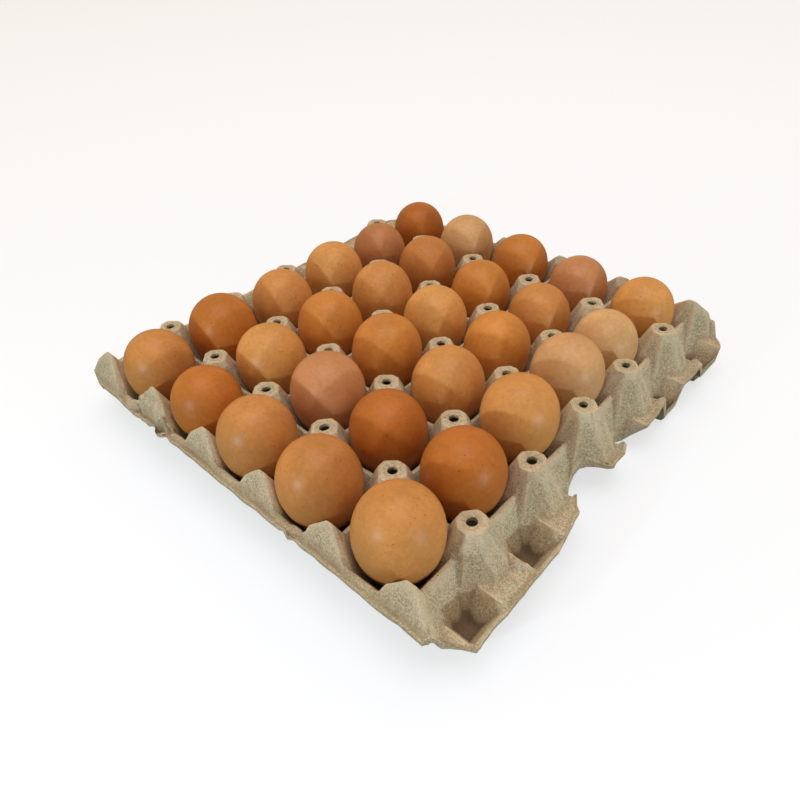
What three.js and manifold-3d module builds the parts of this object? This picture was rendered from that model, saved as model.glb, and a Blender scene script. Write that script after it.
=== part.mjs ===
// Egg tray of moulded paper pulp: five by six cells between hollow posts, with an egg in every cell.
// Millimetres, +Z up. The origin is the middle of the tray, on the surface that it stands on.
import * as THREE from 'three';
import { ConvexGeometry } from 'three/addons/geometries/ConvexGeometry.js';
import { mergeVertices } from 'three/addons/utils/BufferGeometryUtils.js';
import Module from 'manifold-3d';

const wasm = await Module();
wasm.setup();

// Driving dimensions of the tray
const pitch = 49; // between neighbouring eggs, along X and along Y
const columns = 5; // cells along X
const rows = 6; // cells along Y
const wall = 2.2; // thickness of the pulp, square to its surface
const trayHeight = 44; // to the tops of the posts
const edgeOverhang = { x: 0.65 * pitch, y: 0.1 * pitch }; // from the outer posts' centres to the edge
const cornerRadii = { front: 6, right: 30, back: 16, left: 30 }; // of the tray's outline

// Posts: an eight-sided top, with the broad faces towards the eggs and narrow ones towards the ridges
const postBroadReach = 0.14 * pitch; // from the post's axis to a broad face, at the top
const postNarrowReach = 0.15 * pitch; // the same for a narrow face
const postBroadDraft = THREE.MathUtils.degToRad(23.8); // lean of the faces from upright
const postNarrowDraft = THREE.MathUtils.degToRad(21.8);
const postHoleRadius = 2.8;
const tongueReach = -0.13 * pitch; // where an edge post's outer face leaves its top
const tongueDraft = THREE.MathUtils.degToRad(32);

// The pulp has dried unevenly: near two places the posts stand higher by up to a lift
const swellings = [
  { x: -2.5 * pitch, y: -3 * pitch, lift: 4, spread: 1.1 * pitch },
  { x: 2.5 * pitch, y: 0, lift: 4, spread: 0.7 * pitch },
];

// Ridges between the posts, and the lower forms along the tray's edges
const ridgeHeight = 30;
const ridgeHalfWidth = 1; // of the crest
const ridgeDraft = THREE.MathUtils.degToRad(26);
const flangeSlope = THREE.MathUtils.degToRad(26); // fall of the long edges' flange, from level
const flangeClearOfPost = 0.29 * pitch; // from an edge post's centre to the flange's end
const shelfHeight = 20.5; // of the short edges' shelf and rim
const shelfHalfWidth = 0.25 * pitch;
const shelfFootReach = 0.15 * pitch; // where the outer face of an end post leaves its top
const shelfFootDraft = THREE.MathUtils.degToRad(26.5);
const rimReach = 0.6 * pitch; // from the end posts' centres to the rim's inner edge

// Torn places in the outline: ellipses centred on it, with their half-sizes along X and Y
const tears = [
  { x: 3.15 * pitch, y: -0.42 * pitch, halfX: 0.42 * pitch, halfY: 0.42 * pitch },
  { x: 3.15 * pitch, y: 0.42 * pitch, halfX: 0.36 * pitch, halfY: 0.27 * pitch },
  { x: 3.15 * pitch, y: 1 * pitch, halfX: 0.1 * pitch, halfY: 2.3 * pitch },
  { x: 3.15 * pitch, y: -3.15 * pitch, halfX: 0.32 * pitch, halfY: 0.37 * pitch },
];

// Driving dimensions of the eggs
const eggLengthRatio = 1.27; // length over width
const eggBluntness = 0.11; // how much wider the upper, blunt half is
const eggGap = 0.95; // upright gap that an egg keeps to the tray
const eggRings = 7;
const eggSides = 12;
const eggWidths = [
  // one row for each line of cells from the front edge back, left to right
  [41.2, 40.4, 42.8, 43.7, 44.2],
  [43.4, 42.7, 43.7, 42.6, 43.4],
  [42.0, 42.7, 43.4, 42.8, 42.7],
  [42.6, 42.6, 42.3, 41.7, 42.4],
  [40.6, 42.2, 41.0, 40.6, 39.8],
  [40.4, 41.8, 41.1, 40.2, 40.4],
];
// the way each egg leans, as on a map with Y to the north; a dot stands upright
const eggLeans = [
  ['.', '.', 'SW', 'SW', 'NE'],
  ['S', 'S', 'E', 'S', 'E'],
  ['.', '.', 'NE', 'E', 'N'],
  ['E', 'N', '.', 'N', 'N'],
  ['E', 'N', 'E', '.', 'W'],
  ['.', '.', 'E', 'E', '.'],
];
const leanAngle = THREE.MathUtils.degToRad(3.5);
const leanShift = 0.4; // how far a leaning egg has slid the same way
const shellColours = {
  tan: 0xc98a52,
  orange: 0xb4703a,
  brown: 0xb07a50,
  red: 0x9c5a38,
  pink: 0xb07c66,
  pale: 0xd6a87e,
};
const eggTints = [
  ['tan', 'red', 'brown', 'brown', 'tan'],
  ['red', 'tan', 'pink', 'red', 'red'],
  ['brown', 'orange', 'orange', 'brown', 'tan'],
  ['tan', 'brown', 'tan', 'orange', 'pale'],
  ['pink', 'brown', 'orange', 'brown', 'pale'],
  ['red', 'pale', 'orange', 'pink', 'tan'],
];
const pulpColour = 0xb8a890;

const base = wall / 2; // every form of the tray starts inside its floor
const clear = 6; // how far a cut runs past what it cuts
const edge = {
  x: (columns / 2) * pitch + edgeOverhang.x,
  y: (rows / 2) * pitch + edgeOverhang.y,
};

// A face is a half-space: the points whose dot product with the normal is at most the limit.
// An open face is one that the hollow under the form runs out through.
function face(normal, through, open = false) {
  return { normal, limit: normal.dot(through), open };
}

// A face square to the level direction (x, y), leaning by the draft so that it spreads downwards.
function leaningFace(x, y, draft, through) {
  const side = new THREE.Vector3(x, y, 0).normalize().multiplyScalar(Math.cos(draft));
  return face(side.setZ(Math.sin(draft)), through);
}

function uprightEnd(x, y, through) {
  return face(new THREE.Vector3(x, y, 0), through, true);
}

function levelTop(height) {
  return face(new THREE.Vector3(0, 0, 1), new THREE.Vector3(0, 0, height));
}

function bottom() {
  return face(new THREE.Vector3(0, 0, -1), new THREE.Vector3(0, 0, base), true);
}

// The same form one wall's thickness in from its closed faces, run out through its open ones.
function hollowOf(faces) {
  return faces.map(({ normal, limit, open }) => ({
    normal,
    limit: open ? limit + clear : limit - wall,
    open,
  }));
}

// Corners of the solid that a list of faces encloses: the points where three faces meet
// and that lie inside all the others.
function cornersOf(faces) {
  const corners = [];
  for (let i = 0; i < faces.length; i++) {
    for (let j = i + 1; j < faces.length; j++) {
      for (let k = j + 1; k < faces.length; k++) {
        const [a, b, c] = [faces[i], faces[j], faces[k]];
        const bc = b.normal.clone().cross(c.normal);
        const volume = a.normal.dot(bc);
        if (Math.abs(volume) < 1e-6) continue;
        const point = bc.multiplyScalar(a.limit)
          .add(c.normal.clone().cross(a.normal).multiplyScalar(b.limit))
          .add(a.normal.clone().cross(b.normal).multiplyScalar(c.limit))
          .divideScalar(volume);
        const inside = faces.every(({ normal, limit }) => normal.dot(point) <= limit + 1e-6);
        const known = corners.some((corner) => corner.distanceTo(point) < 1e-4);
        if (inside && !known) corners.push(point);
      }
    }
  }
  return corners;
}

function solidFrom(geometry) {
  geometry.deleteAttribute('normal');
  geometry.deleteAttribute('uv');
  const merged = mergeVertices(geometry, 1e-4);
  return new wasm.Manifold(new wasm.Mesh({
    numProp: 3,
    vertProperties: new Float32Array(merged.attributes.position.array),
    triVerts: new Uint32Array(merged.index.array),
  }));
}

function convexSolid(faces) {
  return solidFrom(new ConvexGeometry(cornersOf(faces)));
}

function geometryFrom(solid) {
  const mesh = solid.getMesh();
  const geometry = new THREE.BufferGeometry();
  geometry.setAttribute('position', new THREE.BufferAttribute(new Float32Array(mesh.vertProperties), 3));
  geometry.setIndex(new THREE.BufferAttribute(new Uint32Array(mesh.triVerts), 1));
  geometry.computeVertexNormals();
  return geometry;
}

function postLift(x, y) {
  return swellings.reduce((sum, place) => {
    const distance = Math.hypot(x - place.x, y - place.y) / place.spread;
    return sum + place.lift * Math.exp(-distance * distance);
  }, 0);
}

// Post: four broad faces towards the cells and four narrow ones towards its neighbours. A post on
// an edge has a plain leaning face on its outer side, which runs on to the edge.
function postForm(x, y, outwardX, outwardY) {
  const top = trayHeight + postLift(x, y);
  const faces = [levelTop(top), bottom()];
  for (let turn = 0; turn < 8; turn++) {
    const angle = (turn * Math.PI) / 4;
    const [dx, dy] = [Math.cos(angle), Math.sin(angle)];
    const outer = outwardX * dx + outwardY * dy > 0.5;
    const broad = turn % 2 === 1;
    if (outer && outwardY !== 0 && outwardY * dy > 0.5) continue;
    const narrowReach = outer ? shelfFootReach : postNarrowReach;
    const narrowDraft = outer ? shelfFootDraft : postNarrowDraft;
    const reach = broad ? postBroadReach : narrowReach;
    const draft = broad ? postBroadDraft : narrowDraft;
    faces.push(leaningFace(dx, dy, draft, new THREE.Vector3(x + dx * reach, y + dy * reach, top)));
  }
  if (outwardY !== 0) {
    const through = new THREE.Vector3(x, y + outwardY * tongueReach, top);
    faces.push(leaningFace(0, outwardY, tongueDraft, through));
    faces.push(uprightEnd(0, outwardY, new THREE.Vector3(x, outwardY * edge.y, 0)));
  }
  return faces;
}

// Ridge along X or along Y, through the centres of a line of posts.
function ridgeForm(from, to) {
  const along = to.clone().sub(from).normalize();
  const across = new THREE.Vector3(-along.y, along.x, 0);
  const crestAt = (side) => from.clone().addScaledVector(across, side * ridgeHalfWidth).setZ(ridgeHeight);
  return [
    levelTop(ridgeHeight),
    bottom(),
    leaningFace(across.x, across.y, ridgeDraft, crestAt(1)),
    leaningFace(-across.x, -across.y, ridgeDraft, crestAt(-1)),
    uprightEnd(-along.x, -along.y, from),
    uprightEnd(along.x, along.y, to),
  ];
}

// Flange of a long edge between two of its posts: it falls outwards from the ridge's crest.
function flangeForm(x, outwardY) {
  const y = (outwardY * rows * pitch) / 2;
  const halfLength = pitch / 2 - flangeClearOfPost;
  const end = (side) => new THREE.Vector3(x + side * halfLength, y, ridgeHeight);
  const fall = new THREE.Vector3(0, outwardY * Math.sin(flangeSlope), Math.cos(flangeSlope));
  return [
    levelTop(ridgeHeight),
    face(fall, new THREE.Vector3(x, y, ridgeHeight)),
    bottom(),
    leaningFace(0, -outwardY, ridgeDraft, new THREE.Vector3(x, y - outwardY * ridgeHalfWidth, ridgeHeight)),
    leaningFace(1, 0, ridgeDraft, end(1)),
    leaningFace(-1, 0, ridgeDraft, end(-1)),
    uprightEnd(0, outwardY, new THREE.Vector3(x, outwardY * edge.y, 0)),
  ];
}

// Shelf of a short edge, behind an end post, and the rim that joins the shelves.
function shelfForm(y, outwardX) {
  const x = (outwardX * columns * pitch) / 2;
  const side = (sign) => new THREE.Vector3(x, y + sign * shelfHalfWidth, shelfHeight);
  return [
    levelTop(shelfHeight),
    bottom(),
    leaningFace(0, 1, ridgeDraft, side(1)),
    leaningFace(0, -1, ridgeDraft, side(-1)),
    uprightEnd(-outwardX, 0, new THREE.Vector3(x, y, 0)),
    uprightEnd(outwardX, 0, new THREE.Vector3(outwardX * edge.x, y, 0)),
  ];
}

function rimForm(outwardX) {
  const x = (outwardX * columns * pitch) / 2;
  return [
    levelTop(shelfHeight),
    bottom(),
    leaningFace(-outwardX, 0, ridgeDraft, new THREE.Vector3(x + outwardX * rimReach, 0, shelfHeight)),
    uprightEnd(outwardX, 0, new THREE.Vector3(outwardX * edge.x, 0, 0)),
    uprightEnd(0, 1, new THREE.Vector3(x, edge.y, 0)),
    uprightEnd(0, -1, new THREE.Vector3(x, -edge.y, 0)),
  ];
}

const postX = (i) => (i - columns / 2) * pitch;
const postY = (j) => (j - rows / 2) * pitch;
const outward = (index, last) => (index === 0 ? -1 : index === last ? 1 : 0);

function trayForms() {
  const forms = [];
  for (let i = 0; i <= columns; i++) {
    forms.push(ridgeForm(new THREE.Vector3(postX(i), postY(0), 0), new THREE.Vector3(postX(i), postY(rows), 0)));
    for (let j = 0; j <= rows; j++) {
      forms.push(postForm(postX(i), postY(j), outward(i, columns), outward(j, rows)));
    }
  }
  for (let j = 0; j <= rows; j++) {
    forms.push(ridgeForm(new THREE.Vector3(postX(0), postY(j), 0), new THREE.Vector3(postX(columns), postY(j), 0)));
    forms.push(shelfForm(postY(j), -1), shelfForm(postY(j), 1));
  }
  for (let i = 0; i < columns; i++) {
    forms.push(flangeForm(postX(i) + pitch / 2, -1), flangeForm(postX(i) + pitch / 2, 1));
  }
  forms.push(rimForm(-1), rimForm(1));
  return forms;
}

// Outline of the tray seen from above: a rectangle with round corners, less the torn places.
function outlineSolid() {
  const { x, y } = edge;
  const { front, right, back, left } = cornerRadii;
  const outline = new THREE.Shape();
  outline.moveTo(-x + left, -y);
  outline.absarc(x - front, -y + front, front, -Math.PI / 2, 0);
  outline.absarc(x - right, y - right, right, 0, Math.PI / 2);
  outline.absarc(-x + back, y - back, back, Math.PI / 2, Math.PI);
  outline.absarc(-x + left, -y + left, left, Math.PI, 1.5 * Math.PI);
  return tears.reduce((solid, tear) => {
    const bite = new THREE.Shape();
    bite.absellipse(tear.x, tear.y, tear.halfX, tear.halfY, 0, 2 * Math.PI);
    return solid.subtract(uprightPrism(bite, 16));
  }, uprightPrism(outline, 5));
}

function uprightPrism(outline, curveSegments) {
  const depth = trayHeight + 3 * clear;
  const geometry = new THREE.ExtrudeGeometry(outline, { depth, bevelEnabled: false, curveSegments });
  return solidFrom(geometry.translate(0, 0, -clear));
}

function postHole(x, y) {
  const geometry = new THREE.CylinderGeometry(postHoleRadius, postHoleRadius, 4 * wall, 8);
  return solidFrom(geometry.rotateX(Math.PI / 2).translate(x, y, trayHeight + postLift(x, y)));
}

function trayGeometry(forms) {
  const floor = new THREE.BoxGeometry(2 * edge.x, 2 * edge.y, wall).translate(0, 0, wall / 2);
  let tray = forms.reduce((sum, form) => sum.add(convexSolid(form)), solidFrom(floor));
  const hollows = forms.map((form) => convexSolid(hollowOf(form)));
  tray = tray.subtract(hollows.reduce((sum, hollow) => sum.add(hollow)));
  for (let i = 0; i <= columns; i++) {
    for (let j = 1; j < rows; j++) tray = tray.subtract(postHole(postX(i), postY(j)));
  }
  return geometryFrom(tray.intersect(outlineSolid()));
}

// Height of the tray's upper surface: each form is as high as the lowest of its faces above the
// point, and the highest form shows.
function surfaceHeight(forms, x, y) {
  let height = wall;
  for (const faces of forms) {
    let formHeight = Infinity;
    for (const { normal, limit } of faces) {
      const level = limit - normal.x * x - normal.y * y;
      if (normal.z > 1e-6) formHeight = Math.min(formHeight, level / normal.z);
      else if (normal.z > -1e-6 && level < 0) formHeight = -Infinity;
    }
    height = Math.max(height, formHeight);
  }
  return height;
}

// Egg: an ellipse turned about its long axis and swollen towards the blunt end, which is up.
function eggProfile(width, steps) {
  const points = [];
  for (let step = 0; step <= steps; step++) {
    const angle = Math.PI * (1 - step / steps);
    const radius = step % steps === 0 ? 0 : (width / 2) * Math.sin(angle) * (1 + eggBluntness * Math.cos(angle));
    points.push(new THREE.Vector2(radius, (width / 2) * eggLengthRatio * Math.cos(angle)));
  }
  return points;
}

function eggGeometry(width, steps, segments) {
  const profile = eggProfile(width, steps);
  const geometry = new THREE.LatheGeometry(profile, segments).rotateX(Math.PI / 2);
  geometry.deleteAttribute('normal');
  geometry.deleteAttribute('uv');
  const closed = mergeVertices(geometry, 1e-4);
  closed.computeVertexNormals();
  return closed;
}

// Height of the egg's middle at which its lowest upright gap to the tray is the wanted one.
function seatHeight(forms, egg, x, y) {
  const fine = eggGeometry(egg.width, 18, 24).applyMatrix4(new THREE.Matrix4().makeRotationFromEuler(egg.lean));
  const position = fine.attributes.position;
  let height = -Infinity;
  for (let n = 0; n < position.count; n++) {
    const surface = surfaceHeight(forms, x + position.getX(n), y + position.getY(n));
    height = Math.max(height, surface + eggGap - position.getZ(n));
  }
  return height;
}

function eggMesh(forms, row, column) {
  const towards = eggLeans[row][column];
  const east = (towards.includes('E') ? 1 : 0) - (towards.includes('W') ? 1 : 0);
  const north = (towards.includes('N') ? 1 : 0) - (towards.includes('S') ? 1 : 0);
  const lean = new THREE.Euler(-north * leanAngle, east * leanAngle, 0);
  const egg = { width: eggWidths[row][column], lean };
  const x = postX(column) + pitch / 2 + east * leanShift;
  const y = postY(row) + pitch / 2 + north * leanShift;
  const colour = shellColours[eggTints[row][column]];
  const material = new THREE.MeshStandardMaterial({ color: colour, roughness: 0.5, metalness: 0 });
  const mesh = new THREE.Mesh(eggGeometry(egg.width, eggRings, eggSides), material);
  mesh.name = `egg_r${row + 1}_c${column + 1}`;
  mesh.rotation.copy(lean);
  mesh.position.set(x, y, seatHeight(forms, egg, x, y));
  return mesh;
}

const eggTray = new THREE.Group();
const forms = trayForms();
const pulp = new THREE.MeshStandardMaterial({ color: pulpColour, roughness: 0.95, metalness: 0 });
const tray = new THREE.Mesh(trayGeometry(forms), pulp);
tray.name = 'tray';
eggTray.add(tray);
for (let row = 0; row < rows; row++) {
  for (let column = 0; column < columns; column++) eggTray.add(eggMesh(forms, row, column));
}

export default eggTray;
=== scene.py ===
"""Egg tray of moulded paper pulp with an egg in each of its thirty cells, for Blender 4.5.

The tray is pressed pulp: one skin that follows hollow posts, ridges, cups and a rim. Its height at
any spot is worked out from the same forms as the construction model, rounded where they meet, and
the underside is the same skin one wall's thickness lower. Lengths inside the classes are in
millimetres; `METRE` turns them into Blender's metres when a mesh is made.
"""

import logging
import math
from dataclasses import dataclass, field
from enum import Enum

import bmesh
import bpy
import numpy as np
from mathutils import Matrix, Vector

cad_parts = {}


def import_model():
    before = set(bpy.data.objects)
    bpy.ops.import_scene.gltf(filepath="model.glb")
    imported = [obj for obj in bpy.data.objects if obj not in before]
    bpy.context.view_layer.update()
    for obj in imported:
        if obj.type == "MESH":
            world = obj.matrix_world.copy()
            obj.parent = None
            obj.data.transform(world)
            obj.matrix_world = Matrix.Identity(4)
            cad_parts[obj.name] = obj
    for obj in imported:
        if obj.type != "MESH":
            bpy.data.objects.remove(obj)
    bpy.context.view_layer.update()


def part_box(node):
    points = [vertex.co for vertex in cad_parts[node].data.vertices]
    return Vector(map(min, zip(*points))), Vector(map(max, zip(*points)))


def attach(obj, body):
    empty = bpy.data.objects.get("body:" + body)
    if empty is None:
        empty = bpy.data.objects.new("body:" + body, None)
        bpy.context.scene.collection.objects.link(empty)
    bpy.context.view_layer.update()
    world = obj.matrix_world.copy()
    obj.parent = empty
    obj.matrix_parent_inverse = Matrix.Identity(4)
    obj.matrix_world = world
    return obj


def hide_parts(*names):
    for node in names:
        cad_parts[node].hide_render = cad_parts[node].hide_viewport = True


METRE = 0.001
PITCH = 49.0  # millimetres between neighbouring eggs, along X and along Y
EPSILON = 1e-4
CLEAR = 6.0  # millimetres that the underside's open ends run past the forms
LEAST_EXPONENT = -60.0  # a soft share below its power of e is nothing
SINES = 18  # in each sum of waves
LOG = logging.getLogger("egg_tray")

Array = np.ndarray
Spot = tuple[float, float, float]


# Shape of the tray


@dataclass(frozen=True)
class TraySizes:
    """Driving sizes of the tray in millimetres.

    They are the construction model's, apart from the long edges, where the half posts' sides and the
    strip in front of them are drawn more closely. Tongue is the outward face of a half post, and left
    and right are its sides as seen from outside the tray.
    """

    pitch: float = PITCH
    columns: int = 5
    rows: int = 6
    wall: float = 2.2
    height: float = 44.0
    overhang_x: float = 0.65 * PITCH
    overhang_y: float = 0.10 * PITCH
    post_broad_reach: float = 0.14 * PITCH
    post_narrow_reach: float = 0.15 * PITCH
    post_broad_draft: float = math.radians(23.8)
    post_narrow_draft: float = math.radians(21.8)
    post_hole_radius: float = 2.8
    tongue_reach: float = -0.13 * PITCH
    tongue_draft: float = math.radians(28.5)
    tongue_left_reach: float = 0.17 * PITCH
    tongue_left_draft: float = math.radians(21.8)
    tongue_right_reach: float = 0.035 * PITCH
    tongue_right_draft: float = math.radians(45.0)
    ridge_height: float = 30.0
    ridge_half_width: float = 1.0
    ridge_draft: float = math.radians(26.0)
    strip_slope: float = math.radians(12.0)
    strip_past_post: float = 0.33 * PITCH
    shelf_height: float = 20.5
    shelf_half_width: float = 0.25 * PITCH
    shelf_foot_reach: float = 0.15 * PITCH
    shelf_foot_draft: float = math.radians(26.5)
    rim_reach: float = 0.60 * PITCH

    @property
    def edge_x(self) -> float:
        """Half the tray's length along X."""
        return self.columns / 2 * self.pitch + self.overhang_x

    @property
    def edge_y(self) -> float:
        """Half the tray's length along Y."""
        return self.rows / 2 * self.pitch + self.overhang_y

    def post_x(self) -> Array:
        """X of each column of posts."""
        return (np.arange(self.columns + 1) - self.columns / 2) * self.pitch

    def post_y(self) -> Array:
        """Y of each row of posts."""
        return (np.arange(self.rows + 1) - self.rows / 2) * self.pitch


@dataclass(frozen=True)
class Swelling:
    """A place where the drying pulp has pushed the posts up.

    Attributes:
        x, y: The middle of the place.
        lift: How far a post in its middle is raised.
        spread: How far from the middle the lift has fallen to about a third.
    """

    x: float
    y: float
    lift: float
    spread: float


@dataclass(frozen=True)
class Tear:
    """A torn place in the outline: an ellipse centred on it, by its half-sizes."""

    x: float
    y: float
    half_x: float
    half_y: float


@dataclass(frozen=True)
class Crumple:
    """A crushed place: its middle, its reach and how far the skin is thrown up and down in it."""

    x: float
    y: float
    spread: float
    throw: float


class Form:
    """A convex form of the mould, held as the planes that enclose it.

    A point is inside where normal . point is at most the limit, for every plane. An open plane is
    one that the hollow under the form runs out through.
    """

    def __init__(self) -> None:
        """Starts with no planes."""
        self.planes: list[tuple[Spot, float, bool]] = []

    def plane(self, normal: Spot, through: Spot, is_open: bool = False) -> "Form":
        """Adds a plane through a point.

        Args:
            normal: Outward unit normal.
            through: A point on the plane.
            is_open: True where the hollow runs out through it.

        Returns:
            The form itself, so that planes can be added in a row.
        """
        self.planes.append((normal, float(np.dot(normal, through)), is_open))
        return self

    def top(self, height: float) -> "Form":
        """Adds a level top."""
        return self.plane((0.0, 0.0, 1.0), (0.0, 0.0, height))

    def leaning(self, x: float, y: float, draft: float, through: Spot) -> "Form":
        """Adds a side that faces (x, y) and leans by the draft, so that it spreads downwards."""
        side = math.cos(draft) / math.hypot(x, y)
        return self.plane((x * side, y * side, math.sin(draft)), through)

    def end(self, x: float, y: float, through: Spot) -> "Form":
        """Adds an upright open end that faces (x, y)."""
        return self.plane((x, y, 0.0), through, True)

    def moved(self, shrink: float) -> list[tuple[Spot, float]]:
        """Normals and limits, the closed planes moved in by the shrink and the open ones cleared."""
        clear = CLEAR if shrink > 0 else 0.0
        return [(normal, limit + clear if is_open else limit - shrink)
                for normal, limit, is_open in self.planes]

    def faces(self, shrink: float) -> list[Spot]:
        """The leaning planes, each as its height over the middle and its slopes along X and Y."""
        return [(limit / nz, -nx / nz, -ny / nz)
                for (nx, ny, nz), limit in self.moved(shrink) if nz > EPSILON]

    def levels(self, x: Array, y: Array, shrink: float) -> tuple[Array, Array]:
        """Heights of the leaning planes above each spot.

        Args:
            x, y: Spots, as arrays of one shape.
            shrink: How far the closed planes are moved in, along their normals.

        Returns:
            The heights, one layer for each plane, and True at the spots outside an upright end.
        """
        levels = []
        outside = np.zeros(x.shape, dtype=bool)
        for (nx, ny, nz), limit in self.moved(shrink):
            if nz > EPSILON:
                levels.append((limit - nx * x - ny * y) / nz)
            else:
                outside |= nx * x + ny * y > limit + EPSILON
        return np.stack(levels), outside

    def height(self, x: Array, y: Array, shrink: float, blur: float) -> Array:
        """Height of the form above each spot: the lowest of its leaning planes there.

        The lowest is taken softly, as minus blur times the log of the sum of exp(-plane / blur),
        which rounds the form's edges. Outside an upright end the form has no height.

        Args:
            x, y: Spots, as arrays of one shape.
            shrink: How far the closed planes are moved in, along their normals.
            blur: Size of the rounding in millimetres of height.

        Returns:
            Heights, as an array of the same shape.
        """
        levels, outside = self.levels(x, y, shrink)
        lowest = levels.min(axis=0)
        soft = np.exp(np.maximum((lowest - levels) / blur, LEAST_EXPONENT)).sum(axis=0)
        return np.where(outside, -np.inf, lowest - blur * np.log(soft))

    def lowest(self, x: Array, y: Array, shrink: float) -> tuple[Array, Array]:
        """Height of the lowest leaning plane above each spot, and its place among them."""
        _, outside = self.levels(x, y, shrink)
        levels = np.stack([start + along_x * x + along_y * y
                           for start, along_x, along_y in self.faces(shrink)])
        return np.where(outside, -np.inf, levels.min(axis=0)), levels.argmin(axis=0)


class Mould:
    """The forms that the pulp is pressed over, and the two heights of the skin above any spot."""

    def __init__(self, sizes: TraySizes, swellings: tuple[Swelling, ...]) -> None:
        """Lays out the forms.

        Args:
            sizes: The tray's driving sizes.
            swellings: Places where the posts stand higher.
        """
        self.sizes = sizes
        self.swellings = swellings
        self.forms: list[Form] = []
        self._posts()
        self._ridges()
        self._long_edges()
        self._short_edges()

    def lift(self, x: float, y: float) -> float:
        """How far the post at (x, y) is raised: each swelling falls off as exp(-distance squared)."""
        return sum(s.lift * math.exp(-((x - s.x) ** 2 + (y - s.y) ** 2) / s.spread**2)
                   for s in self.swellings)

    def _posts(self) -> None:
        """Adds the posts: broad faces to the cells and narrow ones to the neighbours."""
        s = self.sizes
        for x in s.post_x():
            out_x = np.sign(x) if abs(x) > s.columns / 2 * s.pitch - 1 else 0
            for y in s.post_y():
                out_y = np.sign(y) if abs(y) > s.rows / 2 * s.pitch - 1 else 0
                self.forms.append(self._post(x, y, out_x, out_y))

    def _post(self, x: float, y: float, out_x: float, out_y: float) -> Form:
        """Makes one post; out_x and out_y point off the tray where the post is on an edge."""
        s = self.sizes
        top = s.height + self.lift(x, y)
        form = Form().top(top)
        for turn in range(8):
            dx, dy = math.cos(turn * math.pi / 4), math.sin(turn * math.pi / 4)
            if out_y * dy > 0.5:
                continue
            outer = out_x * dx > 0.5
            reach = s.shelf_foot_reach if outer else s.post_narrow_reach
            draft = s.shelf_foot_draft if outer else s.post_narrow_draft
            if turn % 2:
                reach, draft = s.post_broad_reach, s.post_broad_draft
            elif out_y and dx * out_y < -0.5:
                reach, draft = s.tongue_right_reach, s.tongue_right_draft
            elif out_y and dx * out_y > 0.5:
                reach, draft = s.tongue_left_reach, s.tongue_left_draft
            form.leaning(dx, dy, draft, (x + dx * reach, y + dy * reach, top))
        if out_y:
            form.leaning(0, out_y, s.tongue_draft, (x, y + out_y * s.tongue_reach, top))
            form.end(0, out_y, (x, out_y * s.edge_y, 0))
        return form

    def _ridges(self) -> None:
        """Adds the ridges that run through the lines of posts, both ways."""
        s = self.sizes
        far_x, far_y = s.post_x()[-1], s.post_y()[-1]
        for x in s.post_x():
            form = Form().top(s.ridge_height)
            for side in (-1, 1):
                form.leaning(side, 0, s.ridge_draft, (x + side * s.ridge_half_width, 0, s.ridge_height))
                form.end(0, side, (x, side * far_y, 0))
            self.forms.append(form)
        for y in s.post_y():
            form = Form().top(s.ridge_height)
            for side in (-1, 1):
                form.leaning(0, side, s.ridge_draft, (0, y + side * s.ridge_half_width, s.ridge_height))
                form.end(side, 0, (side * far_x, y, 0))
            self.forms.append(form)

    def _long_edges(self) -> None:
        """Adds the strip that runs along each long edge, through the half posts' feet."""
        s = self.sizes
        far_x = s.post_x()[-1] + s.strip_past_post
        for out in (-1, 1):
            y = out * s.post_y()[-1]
            form = Form().plane((0.0, out * math.sin(s.strip_slope), math.cos(s.strip_slope)),
                                (0.0, y, s.ridge_height))
            form.leaning(0, -out, s.ridge_draft, (0.0, y - out * s.ridge_half_width, s.ridge_height))
            for side in (-1, 1):
                form.leaning(side, 0, s.ridge_draft, (side * far_x, y, s.ridge_height))
            form.end(0, out, (0.0, out * s.edge_y, 0))
            self.forms.append(form)

    def _short_edges(self) -> None:
        """Adds the shelves behind the end posts and the rim that joins them."""
        s = self.sizes
        for out in (-1, 1):
            x = out * s.post_x()[-1]
            rim = Form().top(s.shelf_height)
            rim.leaning(-out, 0, s.ridge_draft, (x + out * s.rim_reach, 0, s.shelf_height))
            rim.end(out, 0, (out * s.edge_x, 0, 0))
            self.forms.append(rim)
            for y in s.post_y():
                form = Form().top(s.shelf_height)
                for side in (-1, 1):
                    form.leaning(0, side, s.ridge_draft, (x, y + side * s.shelf_half_width, s.shelf_height))
                form.end(-out, 0, (x, y, 0)).end(out, 0, (out * s.edge_x, y, 0))
                self.forms.append(form)

    def skin(self, x: Array, y: Array, shrink: float, blur: float, floor: float) -> Array:
        """Height of the highest form above each spot, taken softly so that valleys are rounded.

        The soft maximum is blur times the log of the sum of exp(height / blur).

        Args:
            x, y: Spots, as arrays of one shape.
            shrink: How far the forms' closed planes are moved in.
            blur: Size of the rounding.
            floor: Height of the flat ground between the forms.

        Returns:
            Heights, as an array of the same shape.
        """
        highest = np.full_like(x, floor)
        total = np.ones_like(x)
        for form in self.forms:
            height = form.height(x, y, shrink, blur)
            raised = np.maximum(highest, height)
            total = total * np.exp(np.maximum((highest - raised) / blur, LEAST_EXPONENT))
            total += np.exp(np.maximum((height - raised) / blur, LEAST_EXPONENT))
            highest = raised
        return highest + blur * np.log(total)

    def crisp(self, x: Array, y: Array, shrink: float = 0.0) -> tuple[Array, Array]:
        """The skin without any rounding.

        Args:
            x, y: Spots, as arrays of one shape.
            shrink: 0 for the top, or the wall's thickness for the underside, whose floors are at 0.

        Returns:
            Heights, and for each spot the plane it lies on: height over the middle and both slopes.
        """
        ground = 0.0 if shrink > 0 else self.sizes.wall
        highest = np.full_like(x, ground)
        which = np.zeros(x.shape, dtype=int)
        planes = [(ground, 0.0, 0.0)]
        for form in self.forms:
            height, face = form.lowest(x, y, shrink)
            which = np.where(height > highest, face + len(planes), which)
            highest = np.maximum(highest, height)
            planes += form.faces(shrink)
        return highest, np.array(planes)[which]


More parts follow.
